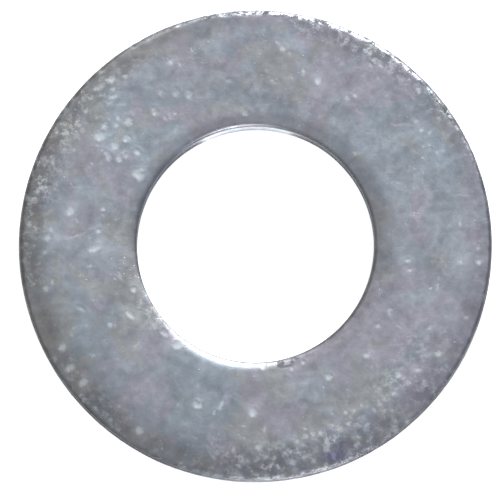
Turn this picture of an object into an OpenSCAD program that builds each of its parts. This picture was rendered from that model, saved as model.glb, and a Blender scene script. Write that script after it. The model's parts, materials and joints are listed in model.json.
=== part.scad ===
// Flat washer, narrow series, for a 12.7 mm (1/2 in) bolt.
// One blanked steel ring. The origin is the centre of the bottom face, on the
// hole's axis, and +Z points to the top face, the one with the rolled edges.
// Both walls are sheared, and from the top face down each one has:
//   a roll, where the sheet was drawn down before it was cut,
//   a burnished land, which is the true cylinder that is measured,
//   a fracture zone, which draws back from the land,
//   and a small break where it meets the bottom face.

/* [Washer] */
// Outside diameter, over the burnished land
outer_d = 26.97; // [26.85:0.01:27.35]
// Hole diameter, at the burnished land
hole_d = 13.49; // [13.36:0.01:13.87]
// Thickness between the two faces
thickness = 2.41; // [1.88:0.01:3.07]

/* [Rolled edges, top face] */
// Radial width of the roll at the outside
outer_roll_w = 1.80; // [0.60:0.05:2.00]
// Depth of the roll at the outside
outer_roll_h = 0.42; // [0.15:0.01:0.50]
// Radial width of the roll around the hole
hole_roll_w = 1.00; // [0.40:0.05:1.20]
// Depth of the roll around the hole
hole_roll_h = 0.36; // [0.15:0.01:0.50]
// Flats that make up each roll
roll_steps = 12; // [6:1:20]

/* [Sheared walls] */
// Height of the burnished land on both walls
land_h = 1.00; // [0.50:0.05:1.10]
// How far the outside wall draws in over the fracture zone
outer_fracture = 0.09; // [0.02:0.01:0.20]
// How far the hole wall opens over the fracture zone
hole_fracture = 0.10; // [0.02:0.01:0.20]

/* [Bottom face edges] */
// Width of the tumbled break at both bottom edges
break_w = 0.10; // [0.04:0.01:0.20]
// Height of the tumbled break at both bottom edges
break_h = 0.06; // [0.04:0.01:0.15]

/* [Hidden] */

$fn = 180;
outer_r = outer_d / 2;
hole_r = hole_d / 2;

// A roll is a quarter ellipse: level where it leaves the face and upright where
// it meets the land. side is 1 at the outside wall and -1 at the hole wall.
function roll(wall_r, w, h, side) = [
    for (i = [0 : roll_steps])
        let (a = 90 * i / roll_steps)
            [wall_r - side * w * (1 - sin(a)), thickness - h * (1 - cos(a))]
];

// One sheared wall from the top face to the bottom face
function wall(wall_r, w, h, fracture, side) = concat(
    roll(wall_r, w, h, side),
    [
        [wall_r, thickness - h - land_h],
        [wall_r - side * fracture, break_h],
        [wall_r - side * (fracture + break_w), 0]
    ]
);

function backwards(list) = [for (i = [len(list) - 1 : -1 : 0]) list[i]];

// Half section of the ring, in the plane of radius and height
module section() {
    polygon(concat(
        wall(outer_r, outer_roll_w, outer_roll_h, outer_fracture, 1),
        backwards(wall(hole_r, hole_roll_w, hole_roll_h, hole_fracture, -1))
    ));
}

module washer() {
    color([0.62, 0.64, 0.68])
        rotate_extrude(convexity = 4)
            section();
}

washer();
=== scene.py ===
"""Looks for a plain zinc-plated flat washer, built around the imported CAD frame.

The CAD ring is replaced by one closed mesh with the same sizes, which adds what blanking, tumbling
and plating leave on a real washer: an uneven die roll, nicks with raised lips, scratches, drag
lines on the burnished land, a torn fracture zone and a worn bottom edge.
Lengths inside the shape code are millimetres; the mesh is scaled to metres at the end.
Angles are counter-clockwise seen from above, from +X.
"""

import json
import math

import bpy
import numpy as np
from mathutils import Matrix, Vector


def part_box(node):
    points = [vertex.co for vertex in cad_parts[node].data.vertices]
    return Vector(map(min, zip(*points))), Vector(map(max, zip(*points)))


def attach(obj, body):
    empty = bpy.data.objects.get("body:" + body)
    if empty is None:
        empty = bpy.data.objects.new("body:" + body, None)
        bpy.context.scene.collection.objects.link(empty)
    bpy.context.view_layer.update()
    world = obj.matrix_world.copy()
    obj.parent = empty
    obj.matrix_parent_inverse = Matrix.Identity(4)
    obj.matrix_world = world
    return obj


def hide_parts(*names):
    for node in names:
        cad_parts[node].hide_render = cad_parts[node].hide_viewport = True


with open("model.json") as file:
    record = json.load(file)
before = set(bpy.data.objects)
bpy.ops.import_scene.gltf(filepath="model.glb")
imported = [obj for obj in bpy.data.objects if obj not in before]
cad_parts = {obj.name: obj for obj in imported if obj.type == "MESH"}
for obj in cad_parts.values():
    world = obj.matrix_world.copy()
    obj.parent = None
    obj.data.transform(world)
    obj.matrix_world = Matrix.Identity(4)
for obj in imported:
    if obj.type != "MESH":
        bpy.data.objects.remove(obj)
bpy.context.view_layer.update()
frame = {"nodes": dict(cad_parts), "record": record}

# ------------------------------------------------------------------ sizes, from the frame
low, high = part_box("washer")
R_OUT = (high.x - low.x) / 2 * 1000.0
THICK = (high.z - low.z) * 1000.0
R_HOLE = next(m for m in frame["record"]["mounts"] if m["name"] == "bore")["dims"]["r_mm"]
LAND, DRAW_OUT, DRAW_IN = 1.00, 0.09, 0.10
BREAK_W, BREAK_H = 0.10, 0.06

COLUMNS = 632
rng = np.random.default_rng(20271)


# ------------------------------------------------------------------ noise
def hashed(ix, iy, iz, seed):
    h = (ix * 73856093) ^ (iy * 19349663) ^ (iz * 83492791) ^ ((seed * 2654435761) & 0xFFFFFFFF)
    h &= 0xFFFFFFFF
    h = ((h ^ (h >> 15)) * 0x2C1B3C6D) & 0xFFFFFFFF
    h = ((h ^ (h >> 12)) * 0x297A2D39) & 0xFFFFFFFF
    return h ^ (h >> 15)


def noise(p, scale, seed):
    """Gradient noise of about -1 to 1 at points p, with features about 1 / scale across."""
    turn = np.array([[0.36, 0.48, -0.8], [-0.8, 0.6, 0.0], [0.48, 0.64, 0.6]])
    q = (p @ turn.T) * scale + seed * 17.13
    cell = np.floor(q).astype(np.int64)
    f = q - cell
    w = f * f * f * (f * (f * 6 - 15) + 10)
    total = np.zeros(len(p))
    for dx in (0, 1):
        for dy in (0, 1):
            for dz in (0, 1):
                h = hashed(cell[:, 0] + dx, cell[:, 1] + dy, cell[:, 2] + dz, seed)
                g = (
                    ((h & 255) / 127.5 - 1) * (f[:, 0] - dx)
                    + (((h >> 8) & 255) / 127.5 - 1) * (f[:, 1] - dy)
                    + (((h >> 16) & 255) / 127.5 - 1) * (f[:, 2] - dz)
                )
                total += (
                    g
                    * (w[:, 0] if dx else 1 - w[:, 0])
                    * (w[:, 1] if dy else 1 - w[:, 1])
                    * (w[:, 2] if dz else 1 - w[:, 2])
                )
    return total * 1.4


def ring_noise(angle, turns, seed, height=0.0):
    """Noise that closes on itself round the ring, with about `turns` waves in a turn."""
    k = turns / (2 * math.pi)
    angle = np.asarray(angle, float)
    p = np.stack(
        [np.cos(angle) * k, np.sin(angle) * k, np.broadcast_to(np.asarray(height, float), angle.shape)],
        -1,
    )
    return noise(p.reshape(-1, 3), 1.0, seed).reshape(angle.shape)


def smooth(x, a, b):
    t = np.clip((x - a) / (b - a), 0, 1)
    return t * t * (3 - 2 * t)


def near_angle(angle, at_deg, half_deg):
    """1 at the angle at_deg, falling smoothly to 0 at half_deg from it."""
    d = np.abs((angle - math.radians(at_deg) + math.pi) % (2 * math.pi) - math.pi)
    return 0.5 + 0.5 * np.cos(np.clip(d / math.radians(half_deg), 0, 1) * math.pi)


def round_ring(angle, values):
    """A smooth curve round the ring through values given every 30 degrees from +X."""
    at = np.asarray(angle, float) / math.radians(30) % 12
    i = np.floor(at).astype(int) % 12
    t = at - np.floor(at)
    v = np.array(values, float)
    a, b, c, d = v[(i - 1) % 12], v[i], v[(i + 1) % 12], v[(i + 2) % 12]
    return b + 0.5 * t * (c - a + t * (2 * a - 5 * b + 4 * c - d + t * (3 * (b - c) + d - a)))


# ------------------------------------------------------------------ the section, column by column
theta = np.arange(COLUMNS) * 2 * math.pi / COLUMNS

# The die roll: a gentle fall of the face, then a tight turn into the wall. Blanking with the punch
# off centre makes the fall long on one side and almost nothing on the other.
fall_w = round_ring(theta, (1.6, 1.2, 1.0, 1.0, 1.2, 1.7, 2.0, 2.4, 2.4, 2.2, 2.0, 1.4)) * (1 + 0.05 * ring_noise(theta, 9, 1))
fall_s = round_ring(theta, (0.10, 0.01, 0.0, 0.0, 0.03, 0.08, 0.12, 0.18, 0.19, 0.18, 0.15, 0.13))
ragged = round_ring(theta, (0.3, 0.9, 1.0, 1.0, 0.7, 0.3, 0.3, 0.3, 0.4, 0.8, 0.7, 0.3))
turn_w = round_ring(theta, (0.28, 0.32, 0.33, 0.34, 0.31, 0.32, 0.32, 0.30, 0.32, 0.40, 0.42, 0.30))
turn_w *= 1 + 0.10 * ring_noise(theta, 22, 2) + ragged * np.clip(0.55 * ring_noise(theta, 60, 12) + 0.55 * ring_noise(theta, 150, 13), -0.5, 0.6)
turn_h = 0.22 * (1.0 + 0.10 * ring_noise(theta, 14, 3))
fall_w_in = round_ring(theta, (1.40, 1.35, 1.2, 0.7, 0.6, 0.6, 0.8, 0.5, 0.8, 0.9, 0.6, 0.9)) * (1 + 0.05 * ring_noise(theta, 7, 4))
fall_s_in = round_ring(theta, (0.20, 0.17, 0.13, 0.13, 0.13, 0.13, 0.13, 0.05, 0.03, 0.03, 0.12, 0.15))
turn_w_in = round_ring(theta, (0.28, 0.28, 0.28, 0.34, 0.34, 0.38, 0.44, 0.42, 0.60, 0.56, 0.34, 0.28)) * (1 + 0.08 * ring_noise(theta, 16, 5))
turn_w_in *= 1 - 0.25 * near_angle(theta, 293, 15)
turn_h_in = round_ring(theta, (0.22, 0.22, 0.22, 0.22, 0.22, 0.20, 0.15, 0.08, 0.19, 0.22, 0.13, 0.17)) * (1.0 + 0.08 * ring_noise(theta, 11, 6))
land_out = LAND + 0.10 * ring_noise(theta, 16, 7) + 0.05 * ring_noise(theta, 60, 8)
land_in = LAND + 0.10 * ring_noise(theta, 12, 9) + 0.05 * ring_noise(theta, 44, 10)


def fallen(t):
    """Drop after the share t of a gentle fall whose end slope is 1 and whose width is 1."""
    a = np.minimum(t / 0.7, 1)
    return 0.7 * (a**3 - a**4 / 2) + np.maximum(t - 0.7, 0)


w_out, w_in = fall_w + turn_w, fall_w_in + turn_w_in
h_out = fall_s * (fall_w * fallen(1.0) + turn_w) + turn_h
h_in = fall_s_in * (fall_w_in * fallen(1.0) + turn_w_in) + turn_h_in

rows_r, rows_z, zone = [], [], []


def add(r, z, what):
    rows_r.append(np.broadcast_to(r, theta.shape))
    rows_z.append(np.broadcast_to(z, theta.shape))
    zone.append(what)


TOP, ROLL_O, LAND_O, TORN_O, BOTTOM, TORN_I, LAND_I, ROLL_I = range(8)
n_top, n_fall, n_turn, n_lo, n_to, n_bot, n_ti, n_li, n_fall_in, n_turn_in = 36, 16, 12, 9, 9, 35, 8, 8, 8, 10
for i in range(n_top):
    t = i / n_top
    add(R_HOLE + w_in + t * (R_OUT - w_out - R_HOLE - w_in), THICK, TOP)
for i in range(n_fall):
    t = i / n_fall
    add(R_OUT - w_out + fall_w * t, THICK - fall_s * fall_w * fallen(t), ROLL_O)
for i in range(n_turn):
    a = math.pi / 2 * i / n_turn
    z = THICK - fall_s * (fall_w * fallen(1.0) + turn_w * math.sin(a)) - turn_h * (1 - math.cos(a))
    add(R_OUT - turn_w * (1 - math.sin(a)), z, ROLL_O)
for i in range(n_lo):
    t = i / n_lo
    add(R_OUT, THICK - h_out - t * land_out, LAND_O)
top_of_torn = THICK - h_out - land_out
for i in range(n_to):
    t = i / n_to
    add(R_OUT - DRAW_OUT * t, top_of_torn * (1 - t) + BREAK_H * t, TORN_O)
add(R_OUT - DRAW_OUT, BREAK_H, TORN_O)
add(R_OUT - DRAW_OUT - BREAK_W * 0.35, BREAK_H * 0.35, TORN_O)
r_a, r_b = R_OUT - DRAW_OUT - BREAK_W, R_HOLE + DRAW_IN + BREAK_W
for i in range(n_bot):
    t = i / (n_bot - 1)
    add(r_a + (r_b - r_a) * t, 0.0, BOTTOM)
add(R_HOLE + DRAW_IN + BREAK_W * 0.35, BREAK_H * 0.35, TORN_I)
add(R_HOLE + DRAW_IN, BREAK_H, TORN_I)
top_of_torn_in = THICK - h_in - land_in
for i in range(1, n_ti):
    t = i / n_ti
    add(R_HOLE + DRAW_IN * (1 - t), BREAK_H * (1 - t) + top_of_torn_in * t, TORN_I)
for i in range(n_li):
    t = i / n_li
    add(R_HOLE, top_of_torn_in + t * land_in, LAND_I)
for i in range(n_turn_in):
    a = math.pi / 2 * (1 - i / n_turn_in)
    z = THICK - fall_s_in * (fall_w_in * fallen(1.0) + turn_w_in * math.sin(a)) - turn_h_in * (1 - math.cos(a))
    add(R_HOLE + turn_w_in * (1 - math.sin(a)), z, ROLL_I)
for i in range(n_fall_in):
    t = 1 - i / n_fall_in
    add(R_HOLE + w_in - fall_w_in * t, THICK - fall_s_in * fall_w_in * fallen(t), ROLL_I)

ROWS = len(zone)
zone = np.array(zone)
rr, zz = np.array(rows_r), np.array(rows_z)
ang = np.broadcast_to(theta, rr.shape)

# The outline wanders a few hundredths of a millimetre inside the nominal circle.
outside = np.isin(zone, (ROLL_O, LAND_O, TORN_O))[:, None]
rr = rr - outside * (0.012 * (1 + ring_noise(theta, 5, 9)) + 0.012 * ragged * (1 + ring_noise(theta, 90, 14))) * smooth(rr, R_OUT - 1.2, R_OUT)
# A shallow fall of the face towards the side with the broad roll.
face = np.isin(zone, (TOP, ROLL_O, ROLL_I))[:, None]
zz = zz - face * (0.014 + 0.060 * near_angle(theta, 236, 125) * smooth(rr, 8.8, R_OUT + 0.6) ** 1.2)

P = np.stack([rr * np.cos(ang), rr * np.sin(ang), zz], -1)


def normals(points):
    """Outward normals of the grid: rows run over the top face outwards, columns run counter-clockwise."""
    along = np.roll(points, -1, 0) - np.roll(points, 1, 0)
    around = np.roll(points, -1, 1) - np.roll(points, 1, 1)
    n = np.cross(along, around)
    return n / np.maximum(np.linalg.norm(n, axis=-1, keepdims=True), 1e-12)


N = normals(P)
flat = P.reshape(-1, 3)
zone_v = np.repeat(zone, COLUMNS)
ang_v = ang.reshape(-1)
r_v = rr.reshape(-1)
lift = np.zeros(len(flat))
worn = np.zeros(len(flat))  # scraped plating, at nicks
halo_and_light = np.zeros(len(flat))  # bruised plating round the nicks, and painted light on the face beside the lower left of the hole
edge = np.zeros(len(flat))  # edges rubbed bright
dirt_and_shade = np.zeros(len(flat))  # darker spots: painted shade along the rims, at the hole's edge and in the nicks' hollows, and dark specks on the face

on_top = np.isin(zone_v, (TOP, ROLL_O, ROLL_I))
on_bottom = zone_v == BOTTOM
on_land = np.isin(zone_v, (LAND_O, LAND_I))
on_torn = np.isin(zone_v, (TORN_O, TORN_I))

# Sheet and tumbling: broad waves, then a fine hammered skin.
for scale, size, seed in ((0.22, 6e-3, 21), (0.7, 3e-3, 22), (1.7, 1.6e-3, 23), (3.6, 1.0e-3, 24)):
    lift += size * noise(flat, scale, seed) * np.where(on_torn, 1.5, 1.0)

# Drag lines down the burnished lands, and the torn zone under them.
lift += np.where(on_land, 1.0, 0.25) * ~(on_top | on_bottom) * (
    2.5e-3 * ring_noise(ang_v, 240, 31) + 1.5e-3 * ring_noise(ang_v, 620, 32)
)
torn = 16e-3 * np.abs(noise(flat * [1, 1, 0.8], 2.4, 33)) + 9e-3 * noise(flat, 5.0, 34)
lift += on_torn * torn * smooth(flat[:, 2], 0.0, 0.12) - on_torn * 0.008


# ------------------------------------------------------------------ nicks and scratches
def mark(centre, size, depth, lip, long_by=1.0, turn=0.0, shine=1.0, n=(0, 0, 1)):
    """A dent of radius size with a raised lip, stretched long_by times along the direction turn."""
    global lift, worn, halo_and_light, dirt_and_shade
    n = np.array(n, float)
    side = np.cross(n, (0, 0, 1)) if abs(n[2]) < 0.9 else np.array([1.0, 0, 0])
    side = side / np.linalg.norm(side)
    other = np.cross(n, side)
    t = math.cos(turn) * side + math.sin(turn) * other
    q = flat - centre
    near = np.abs(q) < size * (long_by + 3.0)
    if abs(n[2]) > 0.9:  # on a face, where a mark follows the face down into its roll
        q[:, 2] = 0.0
        near[:, 2] = on_top if n[2] > 0 else on_bottom
    pick = np.nonzero(near.all(1))[0]
    if not len(pick):
        return
    q = q[pick]
    along = q @ t
    across = np.sqrt(np.maximum((q * q).sum(1) - along**2, 0))
    rho = np.sqrt((along / (size * long_by)) ** 2 + (across / size) ** 2)
    facing = np.clip((N.reshape(-1, 3)[pick] @ n) * 2, 0, 1)
    bowl = np.clip(1 - rho**2, 0, 1) ** 1.5
    ring = np.exp(-(((rho - 1.12) / 0.28) ** 2))
    lift[pick] += facing * (lip * ring - depth * bowl)
    worn[pick] = np.maximum(worn[pick], (0.40 + 0.60 * shine) * facing * np.exp(-((rho / 1.25) ** 2)))
    halo_and_light[pick] = np.maximum(halo_and_light[pick], shine * facing * np.exp(-((rho / 2.3) ** 2)))
    # Darkening in the dent's hollow: painted shade.
    dirt_and_shade[pick] += facing * 0.15 * bowl


def at(radius, degrees, z=None):
    a = math.radians(degrees)
    return np.array([radius * math.cos(a), radius * math.sin(a), THICK if z is None else z])


# Marks on the top face, listed one by one: (x, y, size, stretch, turn, shine)
PLAIN = [
    # a cluster of knocks on the upper left
    (-8.80, 6.25, 0.22, 1.3, 20, 1.0), (-7.95, 5.70, 0.20, 1.1, 70, 0.8), (-7.20, 7.10, 0.24, 1.0, 0, 0.6),
    (-7.90, 6.85, 0.14, 1.0, 0, 0.8), (-7.80, 7.30, 0.13, 1.2, 90, 0.7), (-6.75, 4.10, 0.20, 1.1, 40, 0.9),
    (-6.50, 4.30, 0.13, 1.2, 0, 0.7), (-7.75, 4.95, 0.18, 1.1, 80, 0.7), (-8.45, 5.25, 0.14, 1.3, 80, 0.6),
    (-7.40, 6.00, 0.13, 1.0, 0, 0.7), (-6.70, 5.35, 0.13, 1.0, 0, 0.6), (-8.55, 6.85, 0.17, 1.4, 60, 0.6),
    (-8.05, 8.50, 0.11, 2.4, 12, 0.8), (-8.30, 8.15, 0.10, 2.0, 12, 0.6), (-8.10, 8.95, 0.12, 1.4, 30, 0.6),
    (-8.80, 9.10, 0.15, 1.8, 32, 0.7), (-8.20, 9.55, 0.15, 1.8, 35, 0.7), (-9.35, 8.45, 0.13, 1.5, 60, 0.5),
    (-9.00, 5.75, 0.12, 1.0, 0, 0.5), (-7.35, 5.10, 0.11, 1.5, 70, 0.5), (-8.20, 6.30, 0.10, 1.0, 0, 0.6),
    (-5.70, 7.55, 0.12, 1.6, 40, 0.4), (-5.10, 7.25, 0.13, 1.2, 110, 0.4), (-4.55, 7.55, 0.11, 1.6, 140, 0.4),
    (-5.35, 8.75, 0.17, 1.3, 90, 0.3), (-4.50, 8.75, 0.19, 1.3, 90, 0.3), (-3.75, 8.65, 0.20, 1.3, 90, 0.3),
    (-4.80, 10.50, 0.13, 1.6, 20, 0.8), (-4.30, 10.35, 0.11, 1.5, 150, 0.5), (-10.85, 5.45, 0.12, 1.2, 90, 0.6),
    (-10.35, 5.45, 0.12, 1.0, 0, 0.6), (-11.30, 6.50, 0.13, 1.4, 60, 0.5), (-10.90, 6.90, 0.11, 1.2, 30, 0.5),
    (-8.35, 5.05, 0.18, 1.2, 80, 0.5), (-7.30, 6.10, 0.17, 1.4, 160, 0.7), (-6.70, 5.30, 0.16, 1.1, 90, 0.6),
    (-6.55, 3.95, 0.19, 1.3, 95, 0.8), (-8.10, 9.45, 0.14, 1.6, 40, 0.6), (-5.70, 7.65, 0.16, 1.4, 120, 0.5),
    (-9.05, 9.00, 0.13, 1.8, 30, 0.5), (-8.95, 7.35, 0.13, 1.4, 30, 0.4), (-9.80, 6.60, 0.14, 1.6, 50, 0.4),
    (-10.10, 7.10, 0.12, 2.0, 50, 0.5), (-9.60, 7.70, 0.12, 1.8, 60, 0.5), (-7.40, 9.70, 0.14, 1.5, 10, 0.4),
    # by the hole, at the front
    (0.50, -7.00, 0.12, 1.6, 60, 0.7), (2.10, -7.10, 0.09, 1.8, 80, 0.4), (2.75, -6.75, 0.09, 1.6, 40, 0.4),
    # the left
    (-10.50, 1.95, 0.18, 1.4, 60, 0.8), (-8.65, 2.05, 0.13, 1.2, 0, 0.6), (-12.85, 1.20, 0.15, 1.2, 90, 0.6),
    (-11.60, 0.90, 0.12, 1.7, 95, 0.6), (-11.80, 0.40, 0.17, 1.2, 20, 0.8), (-8.90, 0.80, 0.12, 1.6, 0, 0.6),
    (-9.10, -0.20, 0.16, 2.0, 20, 0.9), (-10.10, 0.55, 0.08, 7.0, 20, 0.4), (-11.90, -0.40, 0.12, 1.8, 45, 0.5),
    (-12.25, -1.05, 0.11, 1.4, 10, 0.5), (-11.50, -2.10, 0.15, 1.2, 90, 0.4), (-11.90, -2.50, 0.15, 1.0, 0, 0.8),
    (-6.90, -2.55, 0.15, 1.0, 0, 0.6), (-7.65, -1.80, 0.09, 4.0, 118, 0.3), (-7.10, -4.00, 0.14, 2.2, 140, 1.0),
    (-8.20, -4.55, 0.15, 1.1, 90, 0.6), (-9.90, -3.65, 0.12, 3.0, 150, 0.3), (-9.40, -1.20, 0.09, 3.0, 5, 0.3),
    # the lower left
    (-10.95, -5.85, 0.19, 1.2, 60, 1.0), (-10.50, -7.05, 0.17, 1.5, 30, 1.0), (-9.75, -7.85, 0.18, 1.5, 42, 1.0),
    (-9.25, -6.35, 0.15, 1.0, 0, 0.6), (-6.55, -10.60, 0.20, 1.1, 70, 1.0), (-7.40, -9.90, 0.13, 1.8, 150, 0.5),
    (-7.75, -9.25, 0.13, 1.4, 150, 0.5), (-8.60, -9.60, 0.10, 1.4, 60, 0.3), (-6.75, -5.75, 0.09, 4.0, 50, 0.4),
    (-4.40, -5.75, 0.20, 1.2, 20, 1.0), (-5.15, -5.05, 0.16, 1.5, 130, 0.6), (-4.25, -12.45, 0.13, 1.2, 0, 0.5),
    (-3.35, -9.15, 0.16, 1.2, 80, 0.6), (-10.40, -5.20, 0.11, 1.2, 0, 0.4),
    # the bottom
    (-3.15, -9.20, 0.17, 1.1, 0, 0.7), (-1.90, -9.15, 0.10, 3.2, 66, 0.8), (-2.30, -9.60, 0.10, 1.6, 66, 0.7),
    (-0.10, -9.60, 0.18, 1.2, 80, 1.0), (4.20, -7.60, 0.17, 1.1, 0, 0.7), (0.20, -11.60, 0.15, 1.3, 20, 0.9),
    (-1.20, -11.65, 0.12, 1.5, 60, 0.6), (-0.70, -12.35, 0.12, 1.3, 70, 0.7), (0.10, -12.25, 0.11, 2.0, 62, 0.7),
    (0.60, -12.15, 0.11, 2.0, 60, 0.7), (1.10, -12.20, 0.11, 1.8, 50, 0.6), (2.10, -12.45, 0.16, 1.1, 0, 1.0),
    (2.80, -12.15, 0.14, 1.5, 20, 0.8), (3.30, -12.35, 0.12, 1.6, 130, 0.8), (2.40, -11.25, 0.14, 1.2, 100, 0.7),
    (2.90, -10.95, 0.14, 1.4, 30, 0.8), (3.30, -10.85, 0.14, 1.1, 0, 0.8), (3.70, -10.80, 0.12, 1.4, 60, 0.7),
    (2.85, -10.50, 0.11, 1.2, 0, 0.6), (-0.55, -11.10, 0.10, 2.4, 150, 0.4), (-1.80, -12.10, 0.11, 1.4, 40, 0.5),
    (1.60, -11.60, 0.10, 2.2, 70, 0.5), (-2.40, -11.40, 0.11, 1.6, 120, 0.4), (3.95, -11.60, 0.12, 1.5, 100, 0.6),
    # the lower right
    (4.80, -10.55, 0.16, 1.2, 60, 0.9), (4.40, -10.35, 0.10, 2.2, 175, 0.7), (5.30, -10.25, 0.12, 1.4, 30, 0.7),
    (5.15, -9.60, 0.13, 1.2, 140, 0.7), (5.60, -9.50, 0.11, 1.2, 0, 0.6), (6.35, -6.35, 0.15, 1.3, 10, 0.7),
    (10.45, -6.25, 0.17, 1.1, 0, 0.8), (9.25, -7.20, 0.10, 2.6, 176, 0.7), (8.10, -7.45, 0.16, 1.1, 60, 0.8),
    (8.70, -7.90, 0.13, 1.3, 120, 0.8), (8.45, -7.65, 0.11, 1.4, 40, 0.6), (7.90, -8.50, 0.14, 1.2, 60, 0.7),
    (7.10, -9.15, 0.12, 1.4, 30, 0.6), (6.75, -9.50, 0.12, 1.2, 100, 0.6), (6.35, -10.30, 0.13, 1.5, 20, 0.7),
    (7.35, -8.80, 0.10, 1.4, 130, 0.5), (6.05, -9.15, 0.11, 1.3, 80, 0.5), (8.75, -8.75, 0.11, 1.2, 0, 0.4),
    (9.60, -7.80, 0.10, 1.5, 50, 0.4), (5.85, -11.00, 0.12, 1.5, 150, 0.6), (10.60, -7.10, 0.11, 1.4, 80, 0.4),
    # the right
    (12.70, -1.05, 0.14, 1.1, 0, 1.0), (12.70, -0.20, 0.13, 1.3, 90, 0.6), (11.70, -1.05, 0.13, 1.2, 0, 0.6),
    (8.70, -0.95, 0.12, 1.8, 0, 0.6), (8.80, -1.50, 0.11, 1.8, 0, 0.4), (11.70, 1.20, 0.14, 1.5, 90, 0.5),
    (10.40, -2.40, 0.12, 2.2, 85, 0.3), (7.65, -3.85, 0.15, 1.8, 88, 0.4), (12.00, -4.20, 0.13, 1.2, 0, 0.5),
    (5.75, 5.20, 0.10, 2.2, 178, 0.6), (7.00, -4.65, 0.13, 1.3, 0, 0.4), (9.95, -4.75, 0.11, 1.6, 60, 0.3),
    # the upper right
    (9.35, 8.85, 0.12, 1.6, 160, 0.8), (10.35, 8.25, 0.13, 1.2, 60, 0.8), (10.85, 7.60, 0.15, 1.4, 125, 1.0),
    (9.20, 7.05, 0.12, 1.2, 0, 0.6), (9.50, 6.55, 0.12, 1.4, 30, 0.6), (9.95, 6.40, 0.12, 1.2, 80, 0.5),
    (10.50, 7.25, 0.11, 1.4, 50, 0.6), (6.85, 10.60, 0.11, 1.8, 10, 0.6), (6.60, 10.30, 0.10, 1.4, 100, 0.5),
    (7.15, 10.30, 0.10, 1.3, 80, 0.5), (5.30, 8.40, 0.14, 1.3, 0, 0.5), (5.75, 8.55, 0.12, 1.5, 30, 0.6),
    # the top
    (3.60, 9.40, 0.16, 1.2, 100, 1.0), (2.75, 9.95, 0.11, 2.0, 90, 0.6), (1.60, 11.25, 0.14, 1.2, 20, 0.9),
    (1.30, 11.55, 0.08, 2.6, 140, 0.5), (1.95, 11.00, 0.08, 2.4, 130, 0.4), (0.70, 10.00, 0.11, 1.2, 0, 0.4),
    (-0.55, 7.55, 0.16, 1.4, 10, 0.5), (-1.40, 9.40, 0.12, 2.4, 4, 0.3), (1.05, 9.35, 0.09, 2.4, 140, 0.3),
]
for x, y, size, stretch, turn, shine in PLAIN:
    size *= 1.32 if size > 0.14 else 1.22
    deep = 1.5 if shine > 0.95 else 1.0
    mark(np.array([x, y, THICK - 0.06]), size, 0.012 * deep, 0.007, stretch, math.radians(turn), shine)

# Dark specks, most in a band along the outer rim and at the hole's edge as painted shade: (x, y, size, stretch, turn,
# strength)
for x, y, size, stretch, turn, strength in (
    (9.70, -3.90, 0.15, 1.3, 80, 0.5), (9.20, -3.40, 0.10, 1.2, 0, 0.4), (12.20, 2.90, 0.13, 1.3, 90, 0.5),
    (11.00, 1.50, 0.12, 1.0, 0, 0.4), (10.80, 6.90, 0.16, 1.3, 120, 0.8), (11.20, 6.00, 0.14, 1.2, 60, 0.7),
    (9.90, 8.40, 0.13, 1.4, 140, 0.7), (8.90, 9.55, 0.14, 1.5, 140, 0.7), (11.60, 5.20, 0.12, 1.5, 110, 0.6),
    (5.60, 12.00, 0.16, 1.6, 160, 0.6), (7.10, 11.20, 0.13, 1.4, 150, 0.6), (4.60, 12.30, 0.13, 1.8, 165, 0.5),
    (-11.05, 7.20, 0.16, 1.6, 60, 0.8), (-10.30, 8.10, 0.15, 1.6, 55, 0.8), (-9.20, 9.60, 0.13, 1.6, 45, 0.6),
    (-10.40, -8.00, 0.16, 1.6, 125, 0.7), (-9.30, -9.10, 0.17, 1.5, 135, 0.8), (-7.60, -10.60, 0.18, 1.6, 145, 0.8),
    (-5.60, -11.70, 0.16, 1.6, 155, 0.7), (-10.45, -6.35, 0.12, 1.3, 60, 0.7), (-2.60, -12.55, 0.15, 1.6, 170, 0.6),
    (0.20, -12.80, 0.15, 1.8, 0, 0.7), (4.40, -12.05, 0.20, 1.6, 20, 0.9), (6.30, -11.50, 0.15, 1.4, 30, 0.6),
    (8.60, -9.90, 0.14, 1.4, 45, 0.5), (11.00, -6.10, 0.12, 1.4, 70, 0.5), (-5.30, -4.55, 0.13, 1.6, 130, 0.6),
    (0.85, -6.98, 0.16, 1.5, 20, 0.9), (1.45, -6.95, 0.14, 1.5, 10, 0.8), (2.10, -6.80, 0.13, 1.5, 20, 0.6), (-6.65, 2.30, 0.12, 1.8, 100, 0.6), (-6.20, 3.60, 0.12, 1.6, 120, 0.5),
):
    q = flat[:, :2] - (x, y)
    c, d = math.cos(math.radians(turn)), math.sin(math.radians(turn))
    rho2 = ((q[:, 0] * c + q[:, 1] * d) / (size * stretch)) ** 2 + ((q[:, 1] * c - q[:, 0] * d) / size) ** 2
    dirt_and_shade = np.maximum(dirt_and_shade, on_top * strength * np.exp(-rho2 / 2.0))

# A small pool of blue passivate that dried by the front rim.
pool = flat[:, :2] - (4.45, -12.05)
pool = on_top * np.exp(-((pool @ (0.94, 0.34)) / 0.62) ** 2 - ((pool @ (-0.34, 0.94)) / 0.34) ** 2)

# Smaller marks, thicker on the ground in four patches of the top face.
PATCHES = (
    (90, (8.0, 13.0), (120, 215)),
    (130, (10.4, 13.2), (255, 325)),
    (40, (10.5, 13.0), (25, 60)),
    (60, (7.4, 13.2), (0, 360)),
)
for count, (r0, r1), (a0, a1) in PATCHES:
    for _ in range(count):
        size = 0.055 + 0.06 * rng.random() ** 2
        mark(
            at(r0 + (r1 - r0) * rng.random() ** 0.8, a0 + (a1 - a0) * rng.random()),
            size, 0.03 * size + 0.002, 0.03 * size, 1 + 2.2 * rng.random() ** 3,
            rng.random() * math.pi, 0.10 + 0.45 * rng.random(),
        )
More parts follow.
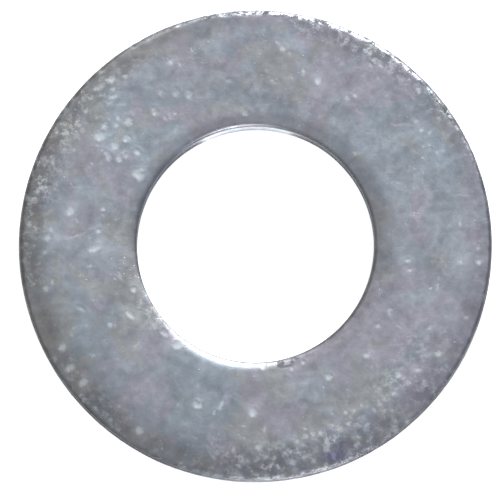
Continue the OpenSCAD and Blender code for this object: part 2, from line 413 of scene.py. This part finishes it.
# Bottom face, the outer wall and the hole wall.
for _ in range(260):
    size = 0.06 + 0.11 * rng.random() ** 2
    mark(
        at(7.2 + 5.9 * rng.random() ** 0.8, 360 * rng.random(), 0.0),
        size, 0.06 * size, 0.0, 1 + 2.5 * rng.random() ** 3, rng.random() * math.pi,
        0.2 + 0.6 * rng.random(), (0, 0, -1),
    )
for count, radius, sign in ((150, R_OUT, 1), (50, R_HOLE, -1)):
    for _ in range(count):
        a = 360 * rng.random()
        size = 0.06 + 0.10 * rng.random() ** 2
        n = (sign * math.cos(math.radians(a)), sign * math.sin(math.radians(a)), 0)
        mark(
            at(radius, a, 0.2 + (THICK - 0.6) * rng.random()),
            size, 0.05 * size + 0.002, 0.03 * size, 1 + 1.8 * rng.random() ** 2,
            rng.random() * math.pi, 0.3 + 0.5 * rng.random(), n,
        )
# Dings where the roll meets the outer wall, most of them along the far and near arcs.
DINGS = [(92, 50, 46), (60, 40, 34), (285, 40, 22), (180, 170, 30)]
for middle, half, count in DINGS:
    for _ in range(count):
        a = middle + half * (2 * rng.random() - 1)
        size = 0.10 + 0.12 * rng.random() ** 2
        lean = math.radians(20 + 50 * rng.random())
        n = (math.cos(math.radians(a)) * math.cos(lean), math.sin(math.radians(a)) * math.cos(lean), math.sin(lean))
        mark(at(R_OUT - 0.10, a, THICK - 0.20), size, 0.05 * size, 0.03 * size, 1 + rng.random(), rng.random() * 3.1, 0.5, n)
# Long shallow scratches on the face.
for degrees, radius, length, turn in (
    (176, 10.3, 9.0, 172), (178, 9.2, 8.0, 165), (205, 11.3, 7.0, 28), (135, 9.0, 6.0, 60),
    (300, 10.4, 7.0, 75), (60, 9.6, 6.0, 10), (20, 10.2, 8.0, 100), (330, 9.4, 6.0, 140),
):
    mark(at(radius, degrees), 0.085, 0.0016, 0.0012, length, math.radians(turn), 0.28)

# Rubbed edges: the tight part of each roll and both bottom edges are barer than the faces.
edge_o = np.exp(-(((r_v - (R_OUT - 0.03)) / 0.24) ** 2)) * (flat[:, 2] > THICK - 1.00)
edge_i = np.exp(-(((r_v - (R_HOLE + 0.03)) / 0.28) ** 2)) * (flat[:, 2] > THICK - 0.85)
patchy = 0.65 + 0.5 * noise(flat, 1.3, 41) + 0.3 * noise(flat, 4.0, 42)
edge = np.clip((edge_o + edge_i) * patchy, 0, 1) * 0.8
low_edge = np.exp(-((flat[:, 2] / 0.07) ** 2)) * on_torn
edge = np.maximum(edge, np.clip(low_edge * patchy, 0, 1) * 0.6)

# Zones where tumbling against other washers has scuffed the plating.
scuff = np.maximum.reduce([
    1.15 * near_angle(ang_v, 285, 52) * smooth(r_v, 10.3, 12.3),
    0.85 * near_angle(ang_v, 158, 58) * smooth(r_v, 10.9, 12.7),
    0.80 * near_angle(ang_v, 226, 34) * smooth(r_v, 11.2, 12.8),
    1.00 * near_angle(ang_v, 58, 52) * smooth(r_v, 11.7, 13.0),
    0.55 * near_angle(ang_v, 318, 26) * smooth(r_v, 9.4, 11.0),
    0.40 * near_angle(ang_v, 140, 24) * smooth(r_v, 8.2, 9.6),
    0.80 * near_angle(ang_v, 214, 22) * smooth(-r_v, -8.1, -7.2),
    np.where(on_top | on_bottom, 0.12, 0.40),
])
# Painted light: the face beside the lower left of the hole is made lighter and rougher, standing in for light that
# falls there.
halo_and_light = np.maximum(halo_and_light, 0.45 * near_angle(ang_v, 250, 52) * smooth(-r_v, -9.2, -7.4))
scuff = np.clip(scuff * (0.85 + 0.7 * noise(flat, 0.7, 43)), 0, 1)

# Chipped plating on the tight turn of the outer edge, and on the lower left of the hole.
chip = np.exp(-(((r_v - (R_OUT - 0.12)) / 0.30) ** 2)) * round_ring(ang_v, (0.3, 0.8, 0.80, 0.80, 0.45, 0.4, 0.4, 0.4, 0.4, 0.40, 0.5, 0.3))
chip = np.maximum(chip, 0.45 * np.exp(-(((r_v - (R_HOLE + 0.25)) / 0.30) ** 2)) * near_angle(ang_v, 216, 34))
chip = np.maximum(chip, 1.20 * np.exp(-(((r_v - (R_HOLE + 0.22)) / 0.30) ** 2)) * near_angle(ang_v, 285, 11))
chip = chip * smooth(flat[:, 2], THICK - 0.85, THICK - 0.40)

# Handling film, partly a real grey-brown film and partly painted shade: a band along the left rim and in from the rim
# elsewhere, darker hole edges where they turn from the light, and a darker patch of the face towards the key lamp.
film_and_shade = on_top * np.maximum.reduce([
    round_ring(ang_v, (0.90, 0.65, 0.58, 0.62, 1.15, 1.15, 1.05, 0.75, 0.65, 0.80, 0.65, 0.75)) * smooth(r_v, R_OUT - 1.9, R_OUT - 0.5),
    0.30 * near_angle(ang_v, 85, 55) * smooth(r_v, 7.5, 8.5) * smooth(-r_v, -12.6, -10.6),
    0.50 * round_ring(ang_v, (1.3, 1.0, 0.8, 0.6, 0.6, 0.8, 1.3, 0.6, 0.0, 0.0, 1.1, 1.1)) * smooth(-r_v, -R_HOLE - 1.3, -R_HOLE - 0.2),
    0.34 * near_angle(ang_v, 146, 26) * smooth(r_v, 10.2, 11.4),
    0.16 * near_angle(ang_v, 350, 24) * smooth(r_v, 8.6, 10.4) * smooth(-r_v, -13.2, -11.8),
    0.14 * near_angle(ang_v, 212, 24) * smooth(r_v, 7.8, 9.4) * smooth(-r_v, -12.4, -11.0),
])
film_and_shade = np.clip(film_and_shade * (0.9 + 0.5 * noise(flat, 0.9, 44)), 0, 1)

# The chromate's tint drifts round the ring, from steel blue to mauve and olive.
mauve = round_ring(ang_v, (0.25, 0.15, 0.60, 0.55, 0.50, 0.40, 0.25, 0.60, 0.40, 0.55, 0.80, 0.70))
olive = round_ring(ang_v, (0.40, 0.50, 0.35, 0.55, 0.50, 0.50, 0.75, 0.80, 0.30, 0.65, 0.75, 0.45))

Q = (flat + N.reshape(-1, 3) * lift[:, None]).reshape(P.shape)
Q[..., 2] = np.clip(Q[..., 2], 0.0, THICK)

# ------------------------------------------------------------------ the mesh
coords = (Q.reshape(-1, 3) / 1000.0).astype(np.float32)
j, i = np.meshgrid(np.arange(ROWS), np.arange(COLUMNS), indexing="ij")
j2, i2 = (j + 1) % ROWS, (i + 1) % COLUMNS
quads = np.stack([j * COLUMNS + i, j2 * COLUMNS + i, j2 * COLUMNS + i2, j * COLUMNS + i2], -1).reshape(-1, 4)
mesh = bpy.data.meshes.new("washer_ring")
mesh.vertices.add(len(coords))
mesh.vertices.foreach_set("co", coords.ravel())
mesh.loops.add(quads.size)
mesh.loops.foreach_set("vertex_index", quads.ravel().astype(np.int32))
mesh.polygons.add(len(quads))
mesh.polygons.foreach_set("loop_start", np.arange(0, quads.size, 4, dtype=np.int32))
mesh.polygons.foreach_set("use_smooth", np.ones(len(quads), bool))
mesh.update(calc_edges=True)
mesh.validate()
for name, values in (("worn", worn), ("halo_and_light", halo_and_light), ("edge", edge), ("dirt_and_shade", dirt_and_shade), ("scuff", scuff), ("chip", chip), ("film_and_shade", film_and_shade), ("mauve", mauve), ("olive", olive), ("pool", pool)):
    layer = mesh.attributes.new(name, "FLOAT", "POINT")
    layer.data.foreach_set("value", np.clip(values, 0, 1).astype(np.float32))
torn_layer = mesh.attributes.new("torn", "FLOAT", "POINT")
torn_layer.data.foreach_set("value", on_torn.astype(np.float32))

washer = bpy.data.objects.new("washer_ring", mesh)
bpy.context.scene.collection.objects.link(washer)


# ------------------------------------------------------------------ zinc plate
class Nodes:
    """Short ways to add nodes to one material."""

    def __init__(self, tree):
        self.t = tree

    def new(self, kind, **settings):
        n = self.t.nodes.new(kind)
        for k, v in settings.items():
            setattr(n, k, v)
        return n

    def put(self, socket, value):
        if hasattr(value, "links"):
            self.t.links.new(value, socket)
        else:
            socket.default_value = value

    def noise(self, vector, scale, detail=2.0, rough=0.5, distort=0.0):
        n = self.new("ShaderNodeTexNoise")
        self.put(n.inputs["Vector"], vector)
        n.inputs["Scale"].default_value = scale
        n.inputs["Detail"].default_value = detail
        n.inputs["Roughness"].default_value = rough
        n.inputs["Distortion"].default_value = distort
        return n.outputs["Fac"]

    def cells(self, vector, scale, feature="F1", smoothness=None):
        n = self.new("ShaderNodeTexVoronoi", feature=feature)
        self.put(n.inputs["Vector"], vector)
        n.inputs["Scale"].default_value = scale
        if smoothness is not None:
            n.inputs["Smoothness"].default_value = smoothness
        return n

    def span(self, value, a, b, c=0.0, d=1.0, smooth_step=True):
        n = self.new("ShaderNodeMapRange", interpolation_type="SMOOTHSTEP" if smooth_step else "LINEAR")
        self.put(n.inputs["Value"], value)
        for name, v in (("From Min", a), ("From Max", b), ("To Min", c), ("To Max", d)):
            n.inputs[name].default_value = v
        return n.outputs["Result"]

    def math(self, op, a, b=0.0, clamp=False):
        n = self.new("ShaderNodeMath", operation=op, use_clamp=clamp)
        self.put(n.inputs[0], a)
        self.put(n.inputs[1], b)
        return n.outputs[0]

    def mix(self, fac, a, b, blend="MIX"):
        n = self.new("ShaderNodeMix", data_type="RGBA", blend_type=blend)
        self.put(n.inputs[0], fac)
        self.put(n.inputs[6], a)
        self.put(n.inputs[7], b)
        return n.outputs[2]

    def attribute(self, name):
        return self.new("ShaderNodeAttribute", attribute_name=name).outputs["Fac"]

    def stretched(self, vector, turn, factors):
        n = self.new("ShaderNodeMapping")
        self.put(n.inputs["Vector"], vector)
        n.inputs["Rotation"].default_value = (0, 0, turn)
        n.inputs["Scale"].default_value = factors
        return n.outputs["Vector"]


def rgb(r, g, b):
    return (r, g, b, 1.0)


zinc = bpy.data.materials.new("zinc_plate")
zinc.use_nodes = True
tree = zinc.node_tree
tree.nodes.clear()
k = Nodes(tree)
out = k.new("ShaderNodeOutputMaterial")
bsdf = k.new("ShaderNodeBsdfPrincipled")
tree.links.new(bsdf.outputs[0], out.inputs["Surface"])
mm = k.stretched(k.new("ShaderNodeTexCoord").outputs["Object"], 0.0, (1000, 1000, 1000))

clouds = k.noise(mm, 0.26, 2.0, 0.55, 0.4)
patch = k.noise(mm, 0.70, 2.0, 0.55, 0.8)
mottle = k.noise(mm, 2.2, 3.0, 0.60, 0.3)
grain = k.noise(mm, 8.0, 2.0, 0.6)

# The chromate film tints the zinc in soft patches: steel blue, mauve and a little olive.
colour = k.mix(k.span(clouds, 0.38, 0.62), rgb(0.478, 0.558, 0.635), rgb(0.560, 0.610, 0.676))

def leaning(texture, name):
    """A texture pushed up or down by up to 0.16 where the named attribute is high or low."""
    return k.math("ADD", texture, k.span(k.attribute(name), 0.0, 1.0, -0.16, 0.16, False))


colour = k.mix(k.span(leaning(k.noise(mm, 0.36, 2.0, 0.5, 0.9), "mauve"), 0.47, 0.61, 0.0, 0.85), colour, rgb(0.572, 0.562, 0.648))
shifted = k.new("ShaderNodeMapping")
k.put(shifted.inputs["Vector"], mm)
shifted.inputs["Location"].default_value = (31.0, 7.0, 3.0)
colour = k.mix(k.span(leaning(k.noise(shifted.outputs[0], 0.44, 2.0, 0.5, 0.9), "olive"), 0.54, 0.66, 0.0, 0.85), colour, rgb(0.546, 0.580, 0.586))
shade = k.math("MULTIPLY", k.span(patch, 0.25, 0.75, 0.90, 1.10, False), k.span(mottle, 0.25, 0.75, 0.92, 1.08, False))
shade = k.math("MULTIPLY", shade, k.span(grain, 0.2, 0.8, 0.945, 1.055, False))
scaled = k.new("ShaderNodeVectorMath", operation="SCALE")
k.put(scaled.inputs[0], colour)
k.put(scaled.inputs["Scale"], shade)
colour = scaled.outputs[0]

# Small bright scuffs, in drifts. Their outlines are broken up, as nothing here is a clean circle.
drift = k.span(k.noise(shifted.outputs[0], 0.45, 2.0, 0.6), 0.44, 0.64)
scuff = k.attribute("scuff")
fine = k.noise(mm, 7.0, 2.0, 0.6)
wander = k.new("ShaderNodeTexNoise")
k.put(wander.inputs["Vector"], mm)
wander.inputs["Scale"].default_value = 5.0
wander.inputs["Detail"].default_value = 1.0
centred = k.new("ShaderNodeVectorMath", operation="SUBTRACT")
k.put(centred.inputs[0], wander.outputs["Color"])
centred.inputs[1].default_value = (0.5, 0.5, 0.5)
bent = k.new("ShaderNodeVectorMath", operation="MULTIPLY_ADD")
k.put(bent.inputs[0], centred.outputs[0])
bent.inputs[1].default_value = (0.30, 0.30, 0.30)
k.put(bent.inputs[2], mm)
bent = bent.outputs[0]


def specks(vector, scale, radius, keep):
    """Scuffs of about the given radius, in millimetres, in the share of cells above keep."""
    cells = k.cells(vector, scale)
    spot = k.span(cells.outputs["Distance"], radius * scale * 0.25, radius * scale, 1.0, 0.0)
    pick = k.new("ShaderNodeSeparateColor")
    k.put(pick.inputs[0], cells.outputs["Color"])
    return k.math("MULTIPLY", spot, k.span(pick.outputs[0], keep, min(keep + 0.35, 1.0)))


def most(*values):
    total = values[0]
    for v in values[1:]:
        total = k.math("MAXIMUM", total, v)
    return total


speck = k.math("MULTIPLY", most(specks(bent, 2.3, 0.11, 0.55), specks(bent, 4.4, 0.065, 0.58)), drift)
stroke = k.math(
    "MULTIPLY",
    most(
        specks(k.stretched(bent, 0.9, (0.32, 1.0, 1.0)), 2.6, 0.060, 0.60),
        specks(k.stretched(bent, -0.5, (0.30, 1.0, 1.0)), 2.4, 0.055, 0.62),
    ),
    k.span(patch, 0.44, 0.60, 0.15, 1.0),
)
streak = most(
    k.span(k.noise(k.stretched(bent, 0.5, (0.40, 5.0, 0.40)), 1.0, 2.0, 0.6), 0.62, 0.76),
    k.span(k.noise(k.stretched(bent, -0.9, (0.40, 5.0, 0.40)), 1.0, 2.0, 0.6), 0.62, 0.76),
)
nick = k.math("ADD", k.attribute("worn"), k.math("MULTIPLY", k.math("SUBTRACT", fine, 0.5), 0.8))
nick = k.span(nick, 0.24, 0.96)
flake = k.noise(bent, 2.4, 3.0, 0.62)
curl = k.span(k.math("ABSOLUTE", k.math("SUBTRACT", k.noise(shifted.outputs[0], 1.7, 2.0, 0.5, 0.5), 0.5)), 0.0, 0.060, 1.0, 0.0)
curl = k.math("MULTIPLY", curl, k.span(k.noise(mm, 1.4, 2.0, 0.5), 0.48, 0.62))
fleck = k.math("MULTIPLY", most(k.span(flake, 0.50, 0.67), k.math("MULTIPLY", curl, 0.45)), scuff)
# Wear, and the painted light beside the hole, lighten and roughen the plate.
wear_and_light = most(
    k.math("MULTIPLY", nick, 0.86), k.math("MULTIPLY", speck, 0.60), k.math("MULTIPLY", stroke, 0.45),
    k.math("MULTIPLY", streak, 0.24), k.math("MULTIPLY", fleck, 0.90),
    k.math("MULTIPLY", k.attribute("halo_and_light"), 0.30),
)
rubbed = k.attribute("edge")
# Film colour: a grey-brown film that is also painted shade on the rims, the hole's edge and the face towards the key
# lamp.
film_and_shade_amount = k.math("MULTIPLY", k.attribute("film_and_shade"), k.span(k.noise(mm, 1.6, 3.0, 0.6), 0.30, 0.66, 0.55, 1.0))
place = k.new("ShaderNodeSeparateXYZ")
k.put(place.inputs[0], mm)
film_and_shade_colour = k.mix(k.span(place.outputs["X"], -9.0, 1.0), rgb(0.335, 0.325, 0.305), rgb(0.335, 0.315, 0.365))
colour = k.mix(k.math("MULTIPLY", film_and_shade_amount, 0.85, True), colour, film_and_shade_colour)
ground = k.math("MULTIPLY", k.span(flake, 0.53, 0.40), scuff)
# Darker spots: painted shade along the rims, at the hole's edge and in the nicks, with dark flecks in the scuffed
# zones and a fine dark mottle.
dull_and_shade = most(k.attribute("dirt_and_shade"), k.span(k.noise(mm, 3.0, 3.0, 0.7), 0.62, 0.80, 0.0, 0.5), k.math("MULTIPLY", ground, 1.2))
colour = k.mix(k.math("MULTIPLY", dull_and_shade, 0.6, True), colour, rgb(0.28, 0.30, 0.36))
colour = k.mix(k.math("MULTIPLY", rubbed, 0.45), colour, rgb(0.80, 0.82, 0.86))
colour = k.mix(k.math("MULTIPLY", wear_and_light, 0.78), colour, rgb(0.83, 0.90, 0.93))
colour = k.mix(k.math("MULTIPLY", k.attribute("pool"), 0.60), colour, rgb(0.22, 0.23, 0.48))
chipped = k.math("MULTIPLY", k.span(k.noise(bent, 2.8, 3.0, 0.7), 0.47, 0.57), k.span(k.attribute("chip"), 0.10, 0.70))
colour = k.mix(k.math("MULTIPLY", chipped, 0.72), colour, rgb(0.22, 0.23, 0.25))
torn_fac = k.attribute("torn")
colour = k.mix(k.math("MULTIPLY", torn_fac, 0.35), colour, rgb(0.40, 0.41, 0.45))
k.put(bsdf.inputs["Base Color"], colour)

rough = k.span(mottle, 0.25, 0.75, 0.39, 0.47, False)
rough = k.math("ADD", rough, k.span(patch, 0.3, 0.7, -0.04, 0.04, False))
rough = k.math("ADD", rough, k.math("MULTIPLY", wear_and_light, 0.21))
rough = k.math("ADD", rough, k.math("MULTIPLY", nick, 0.08))
rough = k.math("SUBTRACT", rough, k.math("MULTIPLY", rubbed, 0.12))
rough = k.math("ADD", rough, k.math("MULTIPLY", chipped, 0.32))
rough = k.math("ADD", rough, k.math("MULTIPLY", torn_fac, 0.15), True)
k.put(bsdf.inputs["Roughness"], rough)
bsdf.inputs["Metallic"].default_value = 1.0

height = k.math("MULTIPLY", k.noise(mm, 3.0, 3.0, 0.6), 2.4)
height = k.math("ADD", height, k.math("MULTIPLY", k.noise(mm, 9.0, 2.0, 0.6), 0.6))
height = k.math("ADD", height, k.math("MULTIPLY", speck, 2.2))
height = k.math("ADD", height, k.math("MULTIPLY", stroke, 1.2))
height = k.math("ADD", height, k.math("MULTIPLY", fleck, 2.4))
height = k.math("SUBTRACT", height, k.math("MULTIPLY", streak, 0.5))
bump = k.new("ShaderNodeBump")
bump.inputs["Strength"].default_value = 1.0
bump.inputs["Distance"].default_value = 2.5e-6
k.put(bump.inputs["Height"], height)
tree.links.new(bump.outputs[0], bsdf.inputs["Normal"])

mesh.materials.append(zinc)
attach(washer, "root")
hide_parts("washer")

# The CAD node keeps the same finish, though the detailed ring stands for it.
node = frame["nodes"]["washer"]
for s in node.material_slots:
    s.material = zinc

# ------------------------------------------------------------------ floor
floor_mesh = bpy.data.meshes.new("floor")
half = 2.5
floor_mesh.from_pydata([(-half, -half, 0), (half, -half, 0), (half, half, 0), (-half, half, 0)], [], [(0, 1, 2, 3)])
floor = bpy.data.objects.new("floor", floor_mesh)
floor.location.z = -0.00002
bpy.context.scene.collection.objects.link(floor)
paper = bpy.data.materials.new("pale_floor")
paper.use_nodes = True
pt = paper.node_tree
pt.nodes.clear()
f = Nodes(pt)
f_out = f.new("ShaderNodeOutputMaterial")
lit = f.new("ShaderNodeBsdfPrincipled")
lit.inputs["Base Color"].default_value = rgb(0.92, 0.92, 0.92)
lit.inputs["Emission Color"].default_value = rgb(1, 1, 1)
lit.inputs["Emission Strength"].default_value = 0.84
bounce = f.new("ShaderNodeBsdfPrincipled")
bounce.inputs["Base Color"].default_value = rgb(0.60, 0.60, 0.60)
for shader in (lit, bounce):
    shader.inputs["Roughness"].default_value = 0.9
    shader.inputs["Specular IOR Level"].default_value = 0.0
shown = f.new("ShaderNodeMixShader")
f.put(shown.inputs[0], f.new("ShaderNodeLightPath").outputs["Is Camera Ray"])
pt.links.new(bounce.outputs[0], shown.inputs[1])
pt.links.new(lit.outputs[0], shown.inputs[2])
pt.links.new(shown.outputs[0], f_out.inputs["Surface"])
floor_mesh.materials.append(paper)


# ------------------------------------------------------------------ light
def softbox(name, azimuth, elevation, distance, width, height, radiance):
    """An area light that faces the washer; azimuth is counter-clockwise from +X."""
    a, e = math.radians(azimuth), math.radians(elevation)
    place = Vector((math.cos(a) * math.cos(e), math.sin(a) * math.cos(e), math.sin(e))) * distance
    data = bpy.data.lights.new(name, "AREA")
    data.shape = "RECTANGLE"
    data.size, data.size_y = width, height
    data.energy = radiance * math.pi * width * height
    lamp = bpy.data.objects.new(name, data)
    lamp.location = place
    lamp.rotation_mode = "QUATERNION"
    lamp.rotation_quaternion = place.to_track_quat("Z", "Y")
    lamp.visible_camera = False
    bpy.context.scene.collection.objects.link(lamp)
    return lamp


def card(name, x, y, width, depth, radiance, turn=0.0):
    """A small glowing card flat on the floor, facing up; it brightens the walls beside it."""
    data = bpy.data.lights.new(name, "AREA")
    data.shape = "RECTANGLE"
    data.size, data.size_y = width, depth
    data.energy = radiance * math.pi * width * depth
    lamp = bpy.data.objects.new(name, data)
    lamp.location = (x, y, 0.00003)
    lamp.rotation_euler = (math.pi, 0, math.radians(turn))
    lamp.visible_camera = False
    bpy.context.scene.collection.objects.link(lamp)
    return lamp


softbox("key", 75, 36, 0.6, 0.22, 0.26, 18.0)
softbox("front_strip", 281, 26, 0.6, 0.24, 0.10, 8.0)
card("hole_card", -0.0005, 0.0050, 0.0046, 0.0026, 1.6)
for i, (degrees, radius, width, depth) in enumerate(
    ((220, 6.0, 2.8, 1.5), (246, 6.0, 2.8, 1.5), (272, 6.0, 2.8, 1.5), (36, 14.6, 5.2, 2.0), (57, 14.6, 5.2, 2.0))
):
    a = math.radians(degrees)
    card("edge_card_%d" % i, math.cos(a) * radius / 1000, math.sin(a) * radius / 1000, width / 1000, depth / 1000, 1.7, degrees - 90)
card("front_card", 0.0024, -0.0175, 0.0150, 0.0060, 1.5)
card("back_card", 0.0040, 0.0168, 0.0180, 0.0050, 1.8)

world = bpy.data.worlds.new("studio")
bpy.context.scene.world = world
world.use_nodes = True
wt = world.node_tree
wt.nodes.clear()
w = Nodes(wt)
w_out = w.new("ShaderNodeOutputWorld")
room = w.new("ShaderNodeBackground")
seen = w.new("ShaderNodeBackground")
seen.inputs["Color"].default_value = rgb(1, 1, 1)
seen.inputs["Strength"].default_value = 1.0
direction = w.new("ShaderNodeSeparateXYZ")
w.put(direction.inputs[0], w.new("ShaderNodeTexCoord").outputs["Generated"])
above = w.math("POWER", w.math("MAXIMUM", direction.outputs["Z"], 0.0), 4.0)
w.put(room.inputs["Strength"], w.math("ADD", w.math("MULTIPLY", above, 0.30), 0.13))
w.put(room.inputs["Color"], w.mix(w.span(direction.outputs["X"], -0.7, 0.6, 0.0, 1.0, False), rgb(1.06, 0.99, 0.92), rgb(0.93, 0.97, 1.12)))
either = w.new("ShaderNodeMixShader")
w.put(either.inputs[0], w.new("ShaderNodeLightPath").outputs["Is Camera Ray"])
wt.links.new(room.outputs[0], either.inputs[1])
wt.links.new(seen.outputs[0], either.inputs[2])
wt.links.new(either.outputs[0], w_out.inputs["Surface"])

bpy.context.scene.view_settings.view_transform = "Standard"

# ------------------------------------------------------------------ camera
TILT, SWING, DISTANCE = 6.8, 10.0, 0.42
PX = 2 * R_OUT / 473.2 / 1000.0
target = Vector((-5.4 * PX, -4.0 * PX, THICK / 1000.0 * 0.6))
tilt, swing = math.radians(TILT), math.radians(SWING)
back = Vector((math.sin(tilt) * math.sin(swing), -math.sin(tilt) * math.cos(swing), math.cos(tilt)))
up = Vector((0, 1, 0))
right = up.cross(back).normalized()
up = back.cross(right)
cam_data = bpy.data.cameras.new("camera")
cam_data.sensor_width = 36.0
cam_data.lens = 36.0 * DISTANCE / (500 * PX)
cam_data.clip_start, cam_data.clip_end = 0.01, 20.0
camera = bpy.data.objects.new("camera", cam_data)
camera.matrix_world = Matrix(
    (
        (right.x, up.x, back.x, target.x + back.x * DISTANCE),
        (right.y, up.y, back.y, target.y + back.y * DISTANCE),
        (right.z, up.z, back.z, target.z + back.z * DISTANCE),
        (0, 0, 0, 1),
    )
)
bpy.context.scene.collection.objects.link(camera)
bpy.context.scene.camera = camera

bpy.context.view_layer.update()
